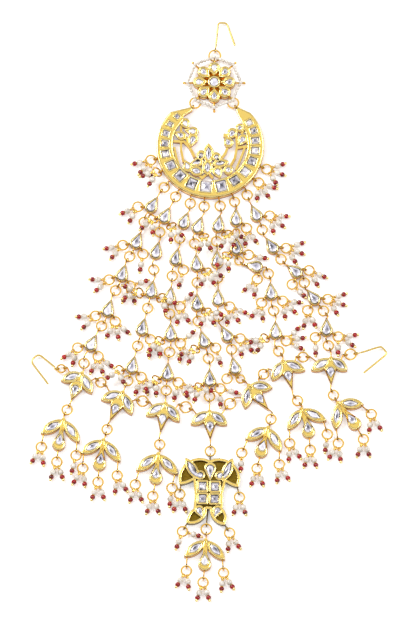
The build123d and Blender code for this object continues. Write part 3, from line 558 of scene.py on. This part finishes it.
def fill_ball(u_segments, v_segments, radius_mm):
    return lambda mesh: bmesh.ops.create_uvsphere(
        mesh, u_segments=u_segments, v_segments=v_segments, radius=radius_mm * MM
    )


def circle(radius_mm, count, height_mm=0.0):
    turns = [math.tau * step / count for step in range(count)]
    return [Vector((math.cos(t) * radius_mm, math.sin(t) * radius_mm, height_mm)) * MM for t in turns]


def along(place, step, forward_mm=0.0):
    """Place and turn of a thing whose own z runs along a drop's wire."""
    turn = step.to_track_quat("Z", "Y").to_matrix().to_4x4()
    return Matrix.Translation(place + step * forward_mm * MM) @ turn


def copies(form_data, matrices):
    """One mesh of all copies of a form."""
    mesh = bmesh.new()
    for matrix in matrices:
        moved = form_data.copy()
        moved.transform(matrix)
        mesh.from_mesh(moved)
        bpy.data.meshes.remove(moved)
    return mesh


pearl_form = form(fill_ball(14, 9, 1.22))
bead_form = form(fill_bead)
end_form = form(fill_ball(10, 7, BALL_RADIUS))
loop_form = add_tubes("loop", [circle(LOOP_RADIUS, 10)], LOOP_WIRE)
winding_form = add_tubes("winding", [circle(TURN_RADIUS, 8, height) for height in TURN_HEIGHTS], TURN_WIRE)
print("faces of a pearl:", len(pearl_form.polygons), "and of a bead:", len(bead_form.polygons))

# %% [markdown]
# ## The drops on their rings
# Along its wire a drop has the loop, two turns of wire, the pearl, the bead and the end ball. The
# pearl is where the frame has it, and the others lie a fixed way before it or behind it.

# %% Hang the drops
LOOP_AT, TURNS_AT, BEAD_AT, BALL_AT = -2.15, -1.35, 1.95, 3.1


def uneven():
    return Matrix.Diagonal((rng.uniform(0.97, 1.05), rng.uniform(0.97, 1.05), rng.uniform(0.94, 1.06), 1))


upright = Matrix.Rotation(math.radians(90), 4, "X")
pearls = copies(pearl_form, [along(place, step) @ uneven() for place, step in drops])
beads = copies(bead_form, [along(place, step, BEAD_AT) for place, step in drops])
balls = copies(end_form, [along(place, step, BALL_AT) for place, step in drops])
loops = copies(loop_form, [along(place, step, LOOP_AT) @ upright for place, step in drops])
windings = copies(winding_form, [along(place, step, TURNS_AT) for place, step in drops])
new_piece("drop_pearls", pearls, pearl)
new_piece("drop_seed_beads", beads, red_glass)
new_piece("drop_end_balls", balls, gold_rim)
new_piece("drop_loops", loops, gold_ring)
new_piece("drop_windings", windings, gold_ring)
print("pieces of the drops: 5, copies of each form:", len(drops))

# %% [markdown]
# ## The string of tiny pearls round the rosette
# The string is pulled tight from peg to peg, so it is an octagon with soft corners. The pearls
# touch, so one is put down each time the string has run a little less than a pearl further.

# %% String the small pearls
low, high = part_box("rosette_pearl_string")
string_centre = (low + high) / 2
STRING_REACH, STRING_SIDES, SMALL_PEARL = 9.9, 8, 0.66
PEARL_STEP = 1.9 * SMALL_PEARL * MM
corners = []
for side in range(STRING_SIDES):
    turn = math.tau * side / STRING_SIDES
    corners.append(string_centre + Vector((math.sin(turn), -math.cos(turn), 0)) * STRING_REACH * MM)
places = []
for start, end in zip(corners, corners[1:] + corners[:1]):
    count = round((end - start).length / PEARL_STEP)
    step = (end - start).normalized()
    places += [along(start.lerp(end, index / count), step) @ uneven() for index in range(count)]
small = copies(form(fill_ball(10, 7, SMALL_PEARL)), places)
print("small pearls:", len(places))
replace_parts(new_piece("rosette_small_pearls", small, pearl), "rosette_pearl_string")

# %% [markdown]
# ## The table
# The photograph is taken on a white light table, which shines a little from below and leaves hardly
# a shadow. A grid of one face is enough for it, with a weak emission for the light.

# %% Table
TABLE_HALF = 3.0
table_mesh = bmesh.new()
bmesh.ops.create_grid(table_mesh, x_segments=1, y_segments=1, size=TABLE_HALF)
table_data = bpy.data.meshes.new("table")
table_mesh.to_mesh(table_data)
table_mesh.free()
table = bpy.data.objects.new("table", table_data)
bpy.context.scene.collection.objects.link(table)
white_table = new_material(
    "white acrylic light table", Roughness=0.6, Base_Color=colour("FAFAFA"),
    Emission_Color=colour("FFFFFF"), Emission_Strength=0.3,
)[0]
table.data.materials.append(white_table)
print("table:", 2 * TABLE_HALF, "m wide")

# %% [markdown]
# ## Light
# A broad soft light comes from above. Gold only looks like gold when it has something dark to
# mirror, so the world is white overhead, dark brown lower down and sand coloured at the horizon.
# Two soft boxes add the brighter spots on the pearls and the stones.

# %% Light
world = bpy.data.worlds.new("studio")
bpy.context.scene.world = world
world.use_nodes = True
sky = world.node_tree
up = add_node(sky, "ShaderNodeTexCoord").outputs["Generated"]
sky_height = add_node(sky, "ShaderNodeSeparateXYZ", Vector=up).outputs["Z"]
background = sky.nodes["Background"]
add_ramp(
    sky, sky_height,
    [(0.0, "B89A60"), (0.2, "42260A"), (0.52, "5A3610"), (0.72, "FFFFFF"), (1.0, "FFFFFF")],
    background.inputs["Color"],
)
background.inputs["Strength"].default_value = 1.0


def add_softbox(name, place, size, power):
    light = bpy.data.lights.new(name, "AREA")
    light.shape = "RECTANGLE"
    light.size, light.size_y = size
    light.energy = power
    lamp = bpy.data.objects.new(name, light)
    lamp.location = place
    lamp.rotation_mode = "QUATERNION"
    lamp.rotation_quaternion = (-Vector(place)).to_track_quat("-Z", "Y")
    bpy.context.scene.collection.objects.link(lamp)


add_softbox("softbox left", (-0.5, 0.35, 0.7), (0.35, 0.35), 5.0)
add_softbox("softbox right", (0.6, -0.1, 0.6), (0.2, 0.5), 2.0)
print("soft boxes: 2")

# %% [markdown]
# ## Camera
# The side walls that show below the crescent and the trefoils put the camera 72 degrees above the
# table. A long lens from far away keeps the headpiece free of perspective, as in the photograph. A
# pixel of the photograph is 0.37 mm, so its height gives the height of the view.

# %% Camera
ELEVATION = math.radians(72)
DISTANCE = 6.0
PHOTO_ROWS, MM_PER_ROW = 624, 0.37
VIEW_HEIGHT = PHOTO_ROWS * MM_PER_ROW * MM
SENSOR = 36
target = Vector((-0.22, -0.74, 1.2)) * MM
back = Vector((0, -math.cos(ELEVATION), math.sin(ELEVATION)))
lens = bpy.data.cameras.new("camera")
lens.sensor_width = SENSOR
lens.lens = SENSOR * DISTANCE / VIEW_HEIGHT
lens.clip_end = 50
camera = bpy.data.objects.new("camera", lens)
camera.location = target + back * DISTANCE
camera.rotation_mode = "QUATERNION"
camera.rotation_quaternion = (-back).to_track_quat("-Z", "Y")
bpy.context.scene.collection.objects.link(camera)
bpy.context.scene.camera = camera
bpy.context.scene.view_settings.view_transform = "Standard"
print("lens:", round(lens.lens), "mm")
